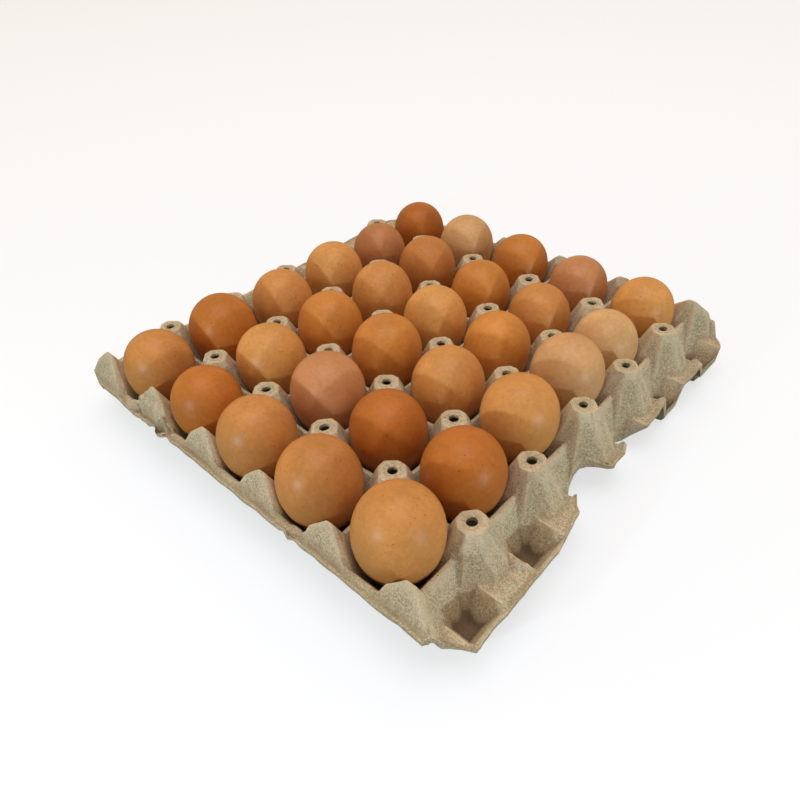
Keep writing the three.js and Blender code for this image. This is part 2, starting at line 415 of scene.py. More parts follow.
# Meshes


def make_object(name: str, points: Array, faces: list[Array], merge: float = 0.0,
                values: dict[str, Array] | None = None) -> bpy.types.Object:
    """Makes a mesh object at the origin.

    Args:
        name: Name of the object.
        points: Vertices in millimetres, n by 3.
        faces: Arrays of vertex indices, one array for each number of corners.
        merge: Distance in millimetres within which vertices are joined, or 0.
        values: Numbers to keep at the vertices for the material, by attribute name.

    Returns:
        The new object, linked to the scene.
    """
    mesh = bpy.data.meshes.new(name)
    mesh.from_pydata((points * METRE).tolist(), [], [f for block in faces for f in block.tolist()])
    for label, numbers in (values or {}).items():
        mesh.attributes.new(label, "FLOAT", "POINT").data.foreach_set("value", numbers.astype(np.float32))
    if merge > 0:
        work = bmesh.new()
        work.from_mesh(mesh)
        bmesh.ops.remove_doubles(work, verts=work.verts, dist=merge * METRE)
        bmesh.ops.dissolve_degenerate(work, edges=work.edges, dist=merge * METRE)
        work.to_mesh(mesh)
        work.free()
    mesh.validate()
    mesh.polygons.foreach_set("use_smooth", np.ones(len(mesh.polygons), dtype=bool))
    mesh.update()
    piece = bpy.data.objects.new(name, mesh)
    bpy.context.scene.collection.objects.link(piece)
    return piece


def grid_faces(rows: int, columns: int) -> Array:
    """Quads of a grid of rows by columns vertices, whose last column joins the first.

    Args:
        rows: Number of rows of vertices.
        columns: Number of vertices in a row.

    Returns:
        Indices, one row of four for each quad, wound from column to column and row to row.
    """
    r, c = np.meshgrid(np.arange(rows - 1), np.arange(columns), indexing="ij")
    here, there = r * columns + c, r * columns + (c + 1) % columns
    return np.stack([here, there, there + columns, here + columns], axis=-1).reshape(-1, 4)


def share(value: Array, start: float, length: float) -> Array:
    """How far a value has got on its way from the start over the length, between 0 and 1."""
    return np.clip((value - start) / length, 0.0, 1.0)


def bell(value: Array, middle: float, width: float) -> Array:
    """1 at the middle, falling to about a third at the width to either side."""
    return np.exp(-(((value - middle) / width) ** 2))


def waves(x: Array, y: Array, z: Array, shortest: float, longest: float, seed: int) -> Array:
    """Smooth random relief between about -1 and 1: a sum of sines in random directions.

    Args:
        x, y, z: Spots in millimetres, as arrays of one shape.
        shortest, longest: Range of the wavelengths.
        seed: Seed of the random draw.

    Returns:
        The relief, as an array of the same shape.
    """
    rng = np.random.default_rng(seed)
    total = np.zeros_like(x)
    for _ in range(SINES):
        way = rng.normal(size=3)
        way *= 2 * math.pi / (np.linalg.norm(way) * rng.uniform(shortest, longest))
        phase = rng.uniform(0, 2 * math.pi)
        total += np.sin(way[0] * x + way[1] * y + way[2] * z + phase)
    return total / math.sqrt(SINES)


@dataclass
class PulpTray:
    """The tray: a top skin, its underside and the walls round the outline and the post holes.

    The plan is cut into one patch for each post. A patch is a fan of rings that starts as the
    post's round hole, becomes the eight-sided outline of its top and ends as the patch's square.

    Attributes:
        sizes: The tray's driving sizes.
        mould: The forms under the skin.
        tears: Torn places in the outline.
        crumples: Crushed places.
        corner_radii: Radii of the outline's corners, by the signs of their X and Y.
        around: Number of spots round a patch, a multiple of 8.
        corner_step: Which spot of half a side lies on the post's corner edge.
        flank_rings: Rings between the top's edge and the strip along the patch's square.
        under_rings: Rings of the underside.
        inset: How far inside the long edges the plan starts to be drawn to the ragged outline.
        blur: Rounding of the edges.
        under_blur: Rounding of the underside's edges.
        highlight_shade_blur: Rounding against which edges, for a painted highlight with some wear, and
            folds, for painted shade, are told.
        least_wall: Least thickness upright, as a share of the wall's.
        pole_radius: Radius of the innermost ring on a half post, which has no hole.
        tongue_top: Radius of the ring round it.
        ragged: Unevenness of the outline.
        rib_height: Height of the seam down the corner edge of the right-hand end posts.
        rib_reach: How far the seam stands out along X.
        gusset_height: Height of the small fold at its foot.
        gusset_reach: How far outside the post's axis the fold is highest.
        gusset_half_width: Half the fold's width.
        lip_height, lip_width: The raised lip along the outline.
        groove_depth, groove_inset, groove_width: The groove inside it.
        low_shade_top, low_shade_drop: The height below which the skin gets painted shade, and how much
            lower that shade is darkest.
        crease_angle: Angle between faces from which their edge is drawn sharp.
    """

    sizes: TraySizes
    mould: Mould
    tears: tuple[Tear, ...]
    crumples: tuple[Crumple, ...]
    corner_radii: dict[tuple[int, int], float]
    around: int = 72
    corner_step: int = 5
    flank_rings: int = 15
    under_rings: int = 6
    inset: float = 10.0
    blur: float = 0.3
    under_blur: float = 0.1
    highlight_shade_blur: float = 2.2
    least_wall: float = 0.7
    pole_radius: float = 0.0
    tongue_top: float = 2.4
    ragged: float = 0.32
    rib_height: float = 1.7
    rib_reach: float = 0.7
    gusset_height: float = 4.8
    gusset_reach: float = 21.5
    gusset_half_width: float = 4.5
    lip_height: float = 0.3
    lip_width: float = 0.9
    groove_depth: float = 0.4
    groove_inset: float = 1.9
    groove_width: float = 0.7
    low_shade_top: float = 12.0
    low_shade_drop: float = 9.0
    crease_angle: float = math.radians(30.0)

    def edge_x(self, y: Array, side: int) -> Array:
        """X of the outline at each Y on the side +1 or -1: the straight edge, its round corners,
        the ellipses of the tears and a fine raggedness, whichever lies furthest in.

        Args:
            y: Y of the spots.
            side: +1 for the right edge, -1 for the left.

        Returns:
            Distance of the outline from the middle, always positive.
        """
        s = self.sizes
        reach = np.full_like(y, s.edge_x)
        for (sx, sy), radius in self.corner_radii.items():
            if sx != side:
                continue
            into = np.clip((sy * y - (s.edge_y - radius)) / radius, 0.0, 1.0)
            reach = np.minimum(reach, s.edge_x - radius + radius * np.sqrt(1 - into**2))
        for tear in self.tears:
            if np.sign(tear.x) != side:
                continue
            across = np.clip(1 - ((y - tear.y) / tear.half_y) ** 2, 0.0, 1.0)
            reach = np.minimum(reach, abs(tear.x) - tear.half_x * across**0.6)
        rag = waves(y, 0 * y + 30.0 * side, 0 * y, 5.0, 26.0, 31 + side)
        return reach - self.ragged * np.maximum(1.6 + rag, 0.1)

    def edge_y(self, x: Array, side: int) -> Array:
        """Distance of the front (-1) or back (+1) outline from the middle at each X."""
        rag = waves(x, 0 * x - 40.0 * side, 0 * x, 5.0, 30.0, 47 + side)
        return self.sizes.edge_y - self.ragged * np.maximum(1.6 + rag, 0.1)

    def fit_outline(self, x: Array, y: Array) -> tuple[Array, Array]:
        """Draws the plan's outermost strips in or out so that they end on the ragged outline.

        Outside the outer posts' lines a spot keeps its share of the way to the edge.

        Args:
            x, y: Spots of the straight plan.

        Returns:
            The fitted spots.
        """
        s = self.sizes
        post_x, post_y = s.post_x()[-1], s.post_y()[-1]
        new_x, new_y = x.copy(), y.copy()
        for side in (-1, 1):
            beyond = side * x - post_x
            room = self.edge_x(y, side) - post_x
            new_x = np.where(beyond > 0, side * (post_x + beyond * room / s.overhang_x), new_x)
            start = post_y - self.inset
            beyond = side * y - start
            room = self.edge_y(x, side) - start
            new_y = np.where(beyond > 0, side * (start + beyond * room / (s.edge_y - start)), new_y)
        return new_x, new_y

    def _half_side(self) -> tuple[Array, Array]:
        """Spots on half a side of a patch: their shares of the way out, and their angles at the top.

        One spot lies on the post's corner edge, which leaves the top's corner and meets the square
        where the planes of the broad and the narrow face are equally high.
        """
        s = self.sizes
        half = s.pitch / 2
        fall = (half - s.post_narrow_reach) / math.tan(s.post_narrow_draft) * math.tan(s.post_broad_draft)
        corner_share = (math.sqrt(2) * (s.post_broad_reach + fall) - half) / half
        corner_angle = math.atan2(math.sqrt(2) * s.post_broad_reach - s.post_narrow_reach,
                                  s.post_narrow_reach)
        k = np.arange(self.around // 8 + 1)
        first = np.minimum(k / self.corner_step, 1.0)
        second = np.maximum((k - self.corner_step) / (self.around // 8 - self.corner_step), 0.0)
        return (corner_share * first**1.3 + (1 - corner_share) * second**1.1,
                corner_angle * first + (math.pi / 4 - corner_angle) * second)

    def _square(self, low: float, high: float) -> Array:
        """Spots along one side of a patch, from its low end up to just before its high end."""
        out, _ = self._half_side()
        return np.concatenate([out[:0:-1] * low, out[:-1] * high])

    def patch(self, x: float, y: float, rings: tuple[Array, Array]) -> tuple[Array, Array, Array]:
        """Plan of the patch of the post at (x, y).

        Args:
            x, y: The post's axis.
            rings: Shares of the way from hole to top's edge, and from there to the square.

        Returns:
            X and Y of the spots, rings by spots round, and a mask of the square's outer spots.
        """
        s = self.sizes
        half = s.pitch / 2
        low_x = -s.overhang_x if x < -s.columns / 2 * s.pitch + 1 else -half
        high_x = s.overhang_x if x > s.columns / 2 * s.pitch - 1 else half
        out_y = 0
        low_y, high_y = -half, half
        if abs(y) > s.rows / 2 * s.pitch - 1:
            out_y = 1 if y > 0 else -1
            low_y, high_y = (-half, s.overhang_y) if out_y > 0 else (-s.overhang_y, half)
        side_x, side_y = self._square(low_x, high_x), self._square(low_y, high_y)
        back_x, back_y = np.append(side_x, high_x)[:0:-1], np.append(side_y, high_y)[:0:-1]
        count = len(side_x)
        square_x = np.concatenate([np.full(count, high_x), back_x, np.full(count, low_x), side_x])
        square_y = np.concatenate([side_y, np.full(count, high_y), back_y, np.full(count, low_y)])
        _, turned = self._half_side()
        side_angle = np.concatenate([-turned[:0:-1], turned[:-1]])
        angle = (np.arange(4)[:, None] * math.pi / 2 + side_angle).ravel()
        if out_y:
            middle_y = out_y * s.tongue_reach
            inner = np.full(len(angle), self.pole_radius)
            crown = np.full(len(angle), self.tongue_top)
        else:
            middle_y = 0.0
            inner = np.full(len(angle), s.post_hole_radius)
            crown = self._top_outline(angle)
        turn = np.stack([np.cos(angle), np.sin(angle)])
        first, second = rings
        a, b = inner * turn, crown * turn
        if out_y:
            a[1] *= 0.5
            b[1] *= 0.5
        a[1] += middle_y
        b[1] += middle_y
        c = np.stack([square_x, square_y])
        plan = np.concatenate([a[:, None] * (1 - first[:, None]) + b[:, None] * first[:, None],
                               b[:, None] * (1 - second[:, None]) + c[:, None] * second[:, None]], axis=1)
        outer = ((low_x < -half) & (square_x == low_x)) | ((high_x > half) & (square_x == high_x))
        outer |= (out_y != 0) & (square_y == (high_y if out_y > 0 else low_y))
        return plan[0] + x, plan[1] + y, outer

    def _top_outline(self, angle: Array) -> Array:
        """Distance of the eight-sided top's edge from the post's axis: the nearest of its faces."""
        s = self.sizes
        reach = np.full_like(angle, np.inf)
        for turn in range(8):
            near = s.post_broad_reach if turn % 2 else s.post_narrow_reach
            facing = np.cos(angle - turn * math.pi / 4)
            reach = np.where(facing > 0.2, np.minimum(reach, near / np.maximum(facing, 0.2)), reach)
        return reach

    def build(self) -> bpy.types.Object:
        """Builds the tray's mesh.

        Returns:
            The tray as one closed object.
        """
        s = self.sizes
        crown = np.array([0.0, 0.5, 0.86, 1.0])
        strip = 1 - np.array([0.085, 0.045, 0.0])
        flank = np.append(np.linspace(0.0, 0.875, self.flank_rings + 1)[1:] ** 1.3, strip)
        under_crown = np.array([0.0, 1.0])
        under_flank = np.linspace(0.0, 1.0, self.under_rings + 1)[1:] ** 1.2
        points: list[Array] = []
        faces: list[Array] = []
        total = 0
        for x in s.post_x():
            for y in s.post_y():
                patch_points, patch_faces = self._shell(x, y, (crown, flank), (under_crown, under_flank))
                points.append(patch_points)
                faces += [block + total for block in patch_faces]
                total += len(patch_points)
        every = np.concatenate(points)
        # The edge value is painted light and shade: a painted highlight on edges, ridges and the lip,
        # painted shade in folds, the groove and low troughs.
        tray = make_object("pulp_tray", every[:, :3], faces, 0.01, {"edge": every[:, 3]})
        tray.data.set_sharp_from_angle(angle=self.crease_angle)
        self._soften_valleys(tray.data)
        return tray

    @staticmethod
    def _soften_valleys(mesh: bpy.types.Mesh) -> None:
        """Leaves only the outward edges sharp, since pulp fills its valleys."""
        work = bmesh.new()
        work.from_mesh(mesh)
        for edge in work.edges:
            if not edge.smooth and len(edge.link_faces) == 2 and not edge.is_convex:
                edge.smooth = True
        work.to_mesh(mesh)
        work.free()

    def _shell(self, x: float, y: float, top_rings: tuple[Array, Array],
               under_rings: tuple[Array, Array]) -> tuple[Array, list[Array]]:
        """Top, underside and walls of one post's patch.

        Args:
            x, y: The post's axis.
            top_rings: Ring shares of the top.
            under_rings: Ring shares of the underside.

        Returns:
            Rows of X, Y, Z and edge value of the vertices, and triangles and quads that face out.
        """
        top_x, top_y, outer = self.patch(x, y, top_rings)
        under_x, under_y, _ = self.patch(x, y, under_rings)
        top = self._relief(*self._snap(*self.fit_outline(top_x, top_y), 0.0), under=False)
        under = self._relief(*self._snap(*self.fit_outline(under_x, under_y), self.sizes.wall), under=True)
        if x > self.sizes.post_x()[-2] and abs(y) < self.sizes.post_y()[-1]:
            self._add_seam(top, top[0] - x)
        n = self.around
        start = top.shape[1] * n
        i = np.arange(n)
        nxt = (i + 1) % n
        points = np.concatenate([top.reshape(4, -1), under.reshape(4, -1)], axis=1).T
        blocks = [self._split(grid_faces(top.shape[1], n)[:, ::-1], points),
                  grid_faces(under.shape[1], n) + start]
        if abs(y) < self.sizes.post_y()[-1]:
            blocks.append(np.stack([nxt, start + nxt, start + i, i], axis=-1))
        last, under_last = (top.shape[1] - 1) * n, start + (under.shape[1] - 1) * n
        rim = np.stack([under_last + i, under_last + nxt, last + nxt, last + i], axis=-1)
        blocks.append(rim[outer & outer[nxt]])
        return points, blocks

    def _add_seam(self, top: Array, beyond: Array) -> None:
        """Raises the seam down an end post's corner edge, and the small fold at its foot.

        Both follow one spoke of the patch. The fold is a tent over the shelf outside the foot. The seam and
        the fold get a painted highlight in the edge value, and the spokes beside the seam painted shadow.

        Args:
            top: X, Y, Z and edge value of the top's spots, changed in place.
            beyond: How far each spot lies outside the post's axis.
        """
        s = self.sizes
        spoke = self.around // 8 + self.corner_step
        flank = share(top[2, :, spoke], s.shelf_height + 1.0, 3.0)
        flank *= beyond[:, spoke] > s.post_narrow_reach - 0.5
        top[2, :, spoke] += self.rib_height * flank
        top[0, :, spoke] += self.rib_reach * flank
        # Painted highlight along the seam, painted shadow on the spoke beside it and faint painted shade on
        # the other side.
        top[3, :, spoke] += 1.2 * flank
        top[3, :, spoke + 1] -= 1.9 * flank
        top[3, :, spoke - 1] -= 0.4 * flank
        for beside, height in ((spoke, 1.0), (spoke + 1, 0.35)):
            off = np.abs(beyond[:, beside] - self.gusset_reach)
            tent = height * share(off, self.gusset_half_width, -self.gusset_half_width)
            tent *= top[2, :, beside] < s.shelf_height + 6.0
            top[2, :, beside] += self.gusset_height * tent
            # Painted highlight on the fold.
            top[3, :, beside] += 0.6 * tent

    def _snap(self, x: Array, y: Array, shrink: float) -> tuple[Array, Array]:
        """Moves spots along the net onto the mould's edges, so that the edges come out crisp.

        Where a spot and its neighbour lie on two planes, D is the first plane's height less the
        second's. The planes meet at the share D(spot) / (D(spot) - D(neighbour)) of the way, and the
        spot moves there if that is less than half. The innermost and outermost rings keep their
        line, and the square's corners stay.

        Args:
            x, y: Spots, rings by spots round.
            shrink: 0 for the top, or the wall's thickness for the underside.

        Returns:
            The moved spots.
        """
        _, planes = self.mould.crisp(x, y, shrink)
        nearest = np.full(x.shape, 0.5)
        new_x, new_y = x, y
        for axis, step in ((1, 1), (1, -1), (0, 1), (0, -1)):
            there_x, there_y = np.roll(x, step, axis), np.roll(y, step, axis)
            gap = planes - np.roll(planes, step, axis)
            here = gap[..., 0] + gap[..., 1] * x + gap[..., 2] * y
            there = gap[..., 0] + gap[..., 1] * there_x + gap[..., 2] * there_y
            apart = np.where(np.abs(here - there) > EPSILON, here - there, np.inf)
            part = here / apart
            moves = (part > 0) & (part < nearest)
            if axis == 0:
                moves[0] = moves[-1] = False
            moves[-1, ::self.around // 4] = False
            nearest = np.where(moves, part, nearest)
            new_x = np.where(moves, x + part * (there_x - x), new_x)
            new_y = np.where(moves, y + part * (there_y - y), new_y)
        return new_x, new_y

    def _split(self, quads: Array, points: Array) -> Array:
        """Cuts quads in two along the diagonal whose middle lies closer to the mould.

        Args:
            quads: Indices of their corners.
            points: The vertices, X, Y and Z first.

        Returns:
            Triangles.
        """
        misses = []
        for first, second in ((0, 2), (1, 3)):
            middle = (points[quads[:, first]] + points[quads[:, second]]) / 2
            misses.append(np.abs(self.mould.crisp(middle[:, 0], middle[:, 1])[0] - middle[:, 2]))
        along = (misses[0] <= misses[1])[:, None]
        return np.concatenate([np.where(along, quads[:, [0, 1, 2]], quads[:, [0, 1, 3]]),
                               np.where(along, quads[:, [0, 2, 3]], quads[:, [1, 2, 3]])])

    def _from_outline(self, x: Array, y: Array) -> Array:
        """Distance of each spot from the ragged outline, along X or Y, whichever is nearer."""
        over_x = np.where(x > 0, self.edge_x(y, 1), self.edge_x(y, -1)) - np.abs(x)
        over_y = np.where(y > 0, self.edge_y(x, 1), self.edge_y(x, -1)) - np.abs(y)
        return np.maximum(np.minimum(over_x, over_y), 0.0)

    def _relief(self, x: Array, y: Array, under: bool) -> Array:
        """Height and unevenness of the skin at each spot.

        The skin is the mould's height, worn by broad waves and small dents that also push it
        sideways, so that steep walls are as uneven as level ones.

        Args:
            x, y: Spots of the fitted plan.
            under: True for the underside.

        Returns:
            X, Y and Z of the vertices, and an edge value for painted light: above 0 on edges, a painted
            highlight with some wear, below 0 in folds, grooves and low troughs, painted shade.
        """
        s = self.sizes
        top = self.mould.skin(x, y, 0.0, self.blur, s.wall)
        if under:
            edge = np.zeros_like(x)
            z = np.maximum(self.mould.skin(x, y, s.wall, self.under_blur, -CLEAR), 0.0)
            z = np.minimum(z, top - self.least_wall * s.wall)
        else:
            # Above 0 on outward edges, for a painted highlight with some wear; below 0 in valleys, for
            # painted shade.
            edge = top - self.mould.skin(x, y, 0.0, self.highlight_shade_blur, s.wall)
            inside = self._from_outline(x, y)
            lip = bell(inside, 0.0, self.lip_width)
            groove = bell(inside, self.groove_inset, self.groove_width)
            # Painted shade on the low parts of the skin, darkest at the bottom of the troughs.
            painted_low_shade = share(top, self.low_shade_top, -self.low_shade_drop) ** 1.5
            z = top + self.lip_height * lip - self.groove_depth * groove * share(top, 4.0, 4.0)
            # A painted highlight on the lip and painted shade in the groove.
            edge = edge + 0.5 * lip - 0.8 * groove - 2.8 * painted_low_shade
        broad = waves(x, y, 0.4 * top, 16.0, 60.0, seed=5)
        small = waves(x, y, top, 5.0, 14.0, seed=8)
        for crumple in self.crumples:
            near = np.exp(-((x - crumple.x) ** 2 + (y - crumple.y) ** 2) / crumple.spread**2)
            folds = crumple.throw * near * waves(x, y, top, 5.0, 11.0, seed=71)
            z = z + folds
            y = y + 0.6 * crumple.throw * near * waves(y, x, top, 4.0, 9.0, seed=72)
            # Painted highlight on a crumple's raised folds and painted shade on its sunk ones.
            edge = edge + 0.5 * folds
        free = share(top, s.wall, 6.0)
        x = x + free * (0.16 * waves(x, y, top, 9.0, 30.0, seed=11) + 0.05 * small)
        y = y + free * (0.16 * waves(y, x, top, 9.0, 30.0, seed=12) + 0.05 * small)
        z = np.maximum(z + free * (0.28 * broad + 0.1 * small), 0.0)
        return np.stack([x, y, z, edge])


class ShellTint(Enum):
    """Tints of the eggshells, by the name of their material slot's ending."""

    TAN = "tan"
    ORANGE = "orange"
    BROWN = "brown"
    RED = "red"
    PINK = "pink"
    PALE = "pale"


@dataclass(frozen=True)
class Lean:
    """Which way an egg leans: steps to the east (+X) and to the north (+Y)."""

    east: int = 0
    north: int = 0

    @classmethod
    def towards(cls, letters: str) -> "Lean":
        """Reads compass letters such as SW; a full stop is upright."""
        return cls(letters.count("E") - letters.count("W"), letters.count("N") - letters.count("S"))


@dataclass
class EggPiece:
    """One egg: an ellipse turned about its long axis and swollen towards its blunt upper end.

    Attributes:
        node: Name of the construction model's egg, which gives its place and size.
        tint: Tint of the shell.
        depth: Steps paler (above 0) or deeper (below 0) than the tint.
        lean: Which way it leans.
        bluntness: How much wider the blunt half is.
        lean_angle: Angle of a lean of one step.
        around, along: Numbers of spots round the egg and from end to end.
    """

    node: str
    tint: ShellTint
    depth: int
    lean: Lean
    bluntness: float = 0.11
    lean_angle: float = math.radians(3.5)
    around: int = 72
    along: int = 44

    def build(self) -> bpy.types.Object:
        """Builds the shell where the construction model has the egg.

        With t the angle from the blunt end, the height is cos t times half the length and the
        radius is sin t (1 + bluntness cos t) times half the width.

        Returns:
            The egg's object.
        """
        low, high = (np.array(corner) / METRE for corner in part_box(self.node))
        middle = (low + high) / 2
        width = min(high[0] - low[0], high[1] - low[1])
        length = high[2] - low[2]
        t, u = np.meshgrid(np.linspace(0.0, math.pi, self.along + 1),
                           np.linspace(0.0, 2 * math.pi, self.around, endpoint=False), indexing="ij")
        radius = width / 2 * np.sin(t) * (1 + self.bluntness * np.cos(t))
        shape = np.stack([radius * np.cos(u), radius * np.sin(u), length / 2 * np.cos(t)])
        uneven = 1 + 0.006 * waves(*shape, 30.0, 70.0, self.seed(self.node))
        shape *= uneven
        turn = Matrix.Rotation(-self.lean.north * self.lean_angle, 3, "X") @ Matrix.Rotation(
            self.lean.east * self.lean_angle, 3, "Y")
        placed = np.einsum("ij,jkl->ikl", np.array(turn), shape) + middle[:, None, None]
        points = placed.reshape(3, -1).T
        return make_object(self.node.replace("egg", "shell"), points,
                           [grid_faces(self.along + 1, self.around)[:, ::-1]], merge=0.001,
                           values={"depth": np.full(len(points), float(self.depth))})

    @staticmethod
    def seed(node: str) -> int:
        """Seed of an egg's own unevenness, from its node's name."""
        return sum((i + 1) * ord(letter) for i, letter in enumerate(node))


# Finishes


class NodeTree:
    """Short calls for adding nodes to a material or a node group.

    Attributes:
        tree: The tree that the nodes go into.
    """

    def __init__(self, tree: bpy.types.NodeTree) -> None:
        """Keeps the tree and empties it."""
        self.tree = tree
        self.column = 0
        tree.nodes.clear()

    def add(self, kind: str, **settings: object) -> bpy.types.Node:
        """Adds a node.

        Args:
            kind: Blender's name of the node's type.
            settings: Attributes to set, or inputs by name where the node has no such attribute.

        Returns:
            The node.
        """
        node = self.tree.nodes.new(kind)
        node.location = (self.column, 0)
        self.column += 180
        for name, value in settings.items():
            if hasattr(node, name):
                setattr(node, name, value)
            else:
                node.inputs[name.replace("_", " ").title()].default_value = value
        return node

    def link(self, start: bpy.types.NodeSocket, end: bpy.types.NodeSocket) -> None:
        """Links an output to an input."""
        self.tree.links.new(start, end)

    def math(self, operation: str, first: object, second: object = None,
             clamp: bool = False) -> bpy.types.NodeSocket:
        """Adds a Math node on two sockets or numbers and returns its output."""
        node = self.add("ShaderNodeMath", operation=operation, use_clamp=clamp)
        for slot, value in enumerate((first, second)):
            if isinstance(value, bpy.types.NodeSocket):
                self.link(value, node.inputs[slot])
            elif value is not None:
                node.inputs[slot].default_value = value
        return node.outputs[0]

    def ramp(self, value: bpy.types.NodeSocket, low: float, high: float, to_low: float = 0.0,
             to_high: float = 1.0) -> bpy.types.NodeSocket:
        """Maps a value smoothly from between low and high to between to_low and to_high."""
        node = self.add("ShaderNodeMapRange", interpolation_type="SMOOTHSTEP")
        self.link(value, node.inputs["Value"])
        for name, number in (("From Min", low), ("From Max", high), ("To Min", to_low),
                             ("To Max", to_high)):
            node.inputs[name].default_value = number
        return node.outputs["Result"]

    def noise(self, vector: bpy.types.NodeSocket, scale: float, detail: float = 2.0,
              roughness: float = 0.5) -> bpy.types.NodeSocket:
        """Adds a noise pattern and returns its grey value."""
        node = self.add("ShaderNodeTexNoise")
        self.link(vector, node.inputs["Vector"])
        for name, number in (("Scale", scale), ("Detail", detail), ("Roughness", roughness)):
            node.inputs[name].default_value = number
        return node.outputs["Fac"]

    def mix(self, part: object, first: object, second: object) -> bpy.types.NodeSocket:
        """Mixes two colours, with so large a part of the second, and returns the result."""
        node = self.add("ShaderNodeMix", data_type="RGBA")
        for slot, value in ((0, part), (6, first), (7, second)):
            if isinstance(value, bpy.types.NodeSocket):
                self.link(value, node.inputs[slot])
            else:
                node.inputs[slot].default_value = value
        return node.outputs[2]


def new_group(name: str, inputs: dict[str, float],
              outputs: tuple[str, ...]) -> tuple[NodeTree, bpy.types.Node, bpy.types.Node]:
    """Starts a shader node group with a Vector input.

    Args:
        name: Name of the group.
        inputs: Number inputs and their starting values.
        outputs: Names of the number outputs.

    Returns:
        The tree, its input node and its output node.
    """
    group = bpy.data.node_groups.new(name, "ShaderNodeTree")
    tree = NodeTree(group)
    group.interface.new_socket("Vector", in_out="INPUT", socket_type="NodeSocketVector")
    for label, value in inputs.items():
        socket = group.interface.new_socket(label, in_out="INPUT", socket_type="NodeSocketFloat")
        socket.default_value = value
    for label in outputs:
        group.interface.new_socket(label, in_out="OUTPUT", socket_type="NodeSocketFloat")
    return tree, tree.add("NodeGroupInput"), tree.add("NodeGroupOutput")


def build_specks() -> bpy.types.NodeTree:
    """Group of scattered small specks: round cells kept only where their random value is high.

    Returns:
        The group, whose Mask is 1 on a speck.
    """
    tree, start, end = new_group("scattered_specks", {"Scale": 400.0, "Share": 0.2, "Size": 0.3}, ("Mask",))
    cells = tree.add("ShaderNodeTexVoronoi", feature="F1")
    tree.link(start.outputs["Vector"], cells.inputs["Vector"])
    tree.link(start.outputs["Scale"], cells.inputs["Scale"])
    draw = tree.add("ShaderNodeSeparateColor")
    tree.link(cells.outputs["Color"], draw.inputs[0])
    kept = tree.math("LESS_THAN", draw.outputs[0], start.outputs["Share"])
    reach = tree.math("MULTIPLY", draw.outputs[1], start.outputs["Size"])
    edge = tree.math("SUBTRACT", reach, cells.outputs["Distance"])
    soft = tree.math("MULTIPLY", edge, 9.0, clamp=True)
    tree.link(tree.math("MULTIPLY", soft, kept), end.inputs["Mask"])
    return tree.tree


def build_fibres() -> bpy.types.NodeTree:
    """Group of fine matted fibres: the thin lines where a twisted noise crosses its middle value.

    Returns:
        The group, whose Mask is 1 on a fibre and whose Height is a felted relief.
    """
    tree, start, end = new_group("matted_fibres", {"Scale": 300.0, "Width": 0.03}, ("Mask", "Height"))
    noise = tree.add("ShaderNodeTexNoise")
    tree.link(start.outputs["Vector"], noise.inputs["Vector"])
    tree.link(start.outputs["Scale"], noise.inputs["Scale"])
    for name, number in (("Detail", 3.0), ("Roughness", 0.6), ("Distortion", 2.2)):
        noise.inputs[name].default_value = number
    off = tree.math("ABSOLUTE", tree.math("SUBTRACT", noise.outputs["Fac"], 0.5))
    line = tree.math("SUBTRACT", 1.0, tree.math("DIVIDE", off, start.outputs["Width"]), clamp=True)
    patchy = tree.ramp(tree.noise(start.outputs["Vector"], scale=260.0, detail=1.0), 0.45, 0.62)
    tree.link(tree.math("MULTIPLY", line, patchy), end.inputs["Mask"])
    raised = tree.math("MULTIPLY", line, 0.5)
    tree.link(tree.math("ADD", noise.outputs["Fac"], raised), end.inputs["Height"])
    return tree.tree


@dataclass
class Groups:
    """The node groups that the finishes share."""

    specks: bpy.types.NodeTree = field(default_factory=build_specks)
    fibres: bpy.types.NodeTree = field(default_factory=build_fibres)

    def place(self, tree: NodeTree, group: bpy.types.NodeTree, vector: bpy.types.NodeSocket,
              **values: float) -> bpy.types.Node:
        """Places a group in a material with its own values.

        Args:
            tree: The material's tree.
            group: The group.
            vector: Coordinates for the pattern.
            values: Values of the group's inputs, by name in small letters.

        Returns:
            The group's node.
        """
        node = tree.add("ShaderNodeGroup")
        node.node_tree = group
        tree.link(vector, node.inputs["Vector"])
        for name, value in values.items():
            node.inputs[name.title()].default_value = value
        return node


def colour(red: float, green: float, blue: float) -> tuple[float, float, float, float]:
    """A linear colour with full alpha."""
    return (red, green, blue, 1.0)


def new_material(name: str) -> tuple[bpy.types.Material, NodeTree, bpy.types.Node, bpy.types.NodeSocket]:
    """Starts a material with a Principled BSDF.

    Args:
        name: Name of the material.

    Returns:
        The material, its tree, the BSDF node and the Object coordinates.
    """
    material = bpy.data.materials.new(name)
    material.use_nodes = True
    tree = NodeTree(material.node_tree)
    output = tree.add("ShaderNodeOutputMaterial")
    shader = tree.add("ShaderNodeBsdfPrincipled")
    tree.link(shader.outputs["BSDF"], output.inputs["Surface"])
    place = tree.add("ShaderNodeTexCoord")
    return material, tree, shader, place.outputs["Object"]


